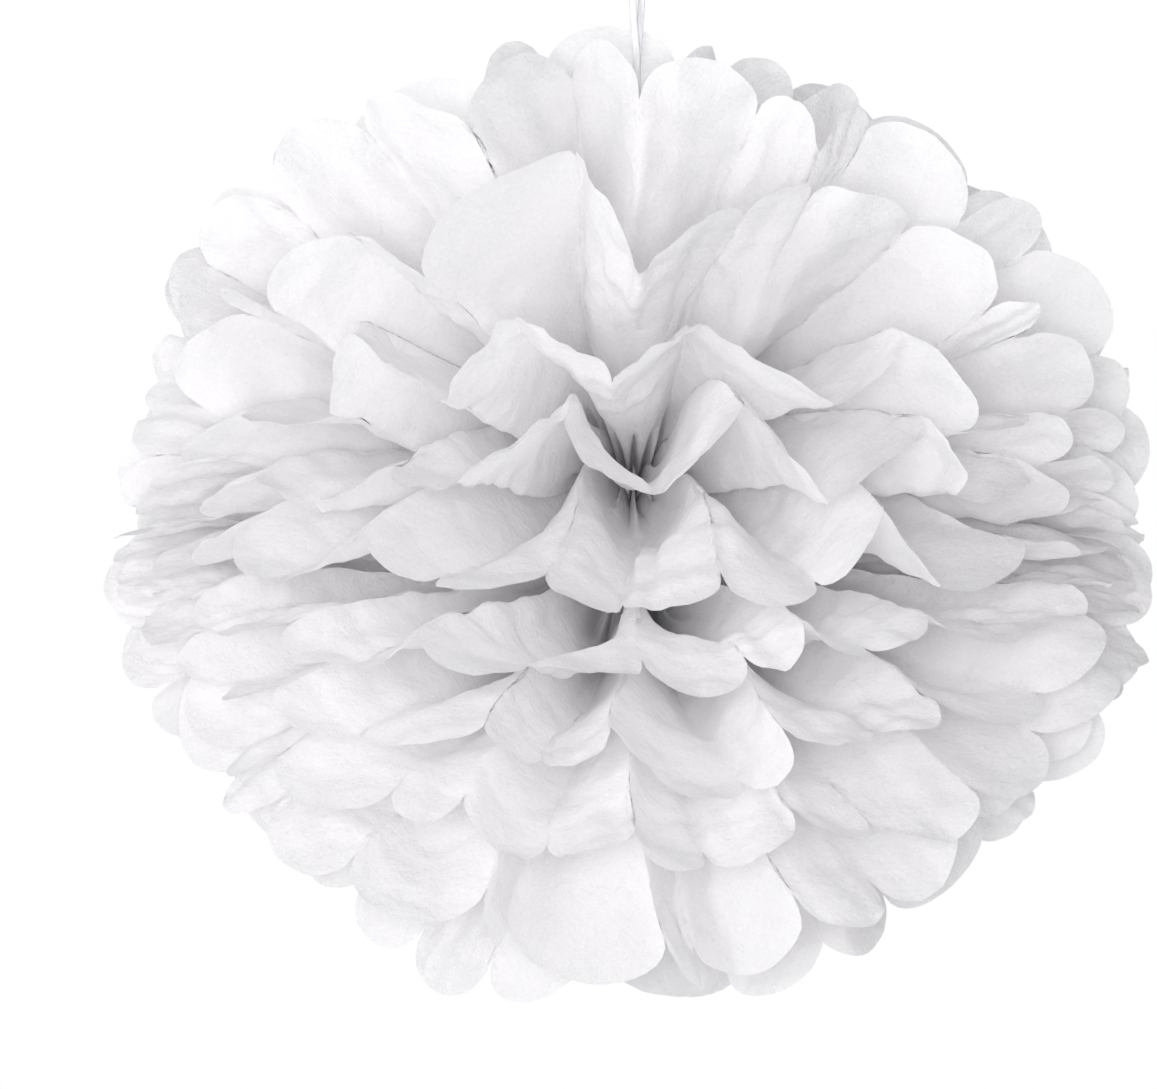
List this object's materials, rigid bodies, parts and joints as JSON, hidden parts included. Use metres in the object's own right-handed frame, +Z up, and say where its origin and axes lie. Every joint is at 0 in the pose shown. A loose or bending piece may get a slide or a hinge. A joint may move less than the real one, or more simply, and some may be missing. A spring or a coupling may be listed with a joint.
{
  "type": "tissue paper pom pom",
  "caption": "Round hanging pom pom of fanned, pleated white tissue sheets with rounded petals, tied in the middle and hung by a doubled ribbon.",
  "frame": {"origin": "top of the ribbon's hanging loop, 160 mm straight above the tie in the middle of the ball", "axes": "+Z up along the ribbon, -Y to the front, where the petals meet, and X along the seam between the upper and lower fans"},
  "size_m": [0.2568, 0.2546, 0.2818],
  "materials": {
    "tissue": "matte",
    "wire": "satin",
    "ribbon": "satin"
  },
  "bodies": {
    "root": {"tissue_01": "tissue", "tissue_02": "tissue", "tissue_03": "tissue", "tissue_04": "tissue", "tissue_05": "tissue", "tissue_06": "tissue", "tissue_07": "tissue", "tissue_08": "tissue", "tissue_09": "tissue", "tissue_10": "tissue", "tie_wire": "wire", "ribbon_knot": "ribbon", "ribbon": "ribbon"}
  },
  "joints": []
}
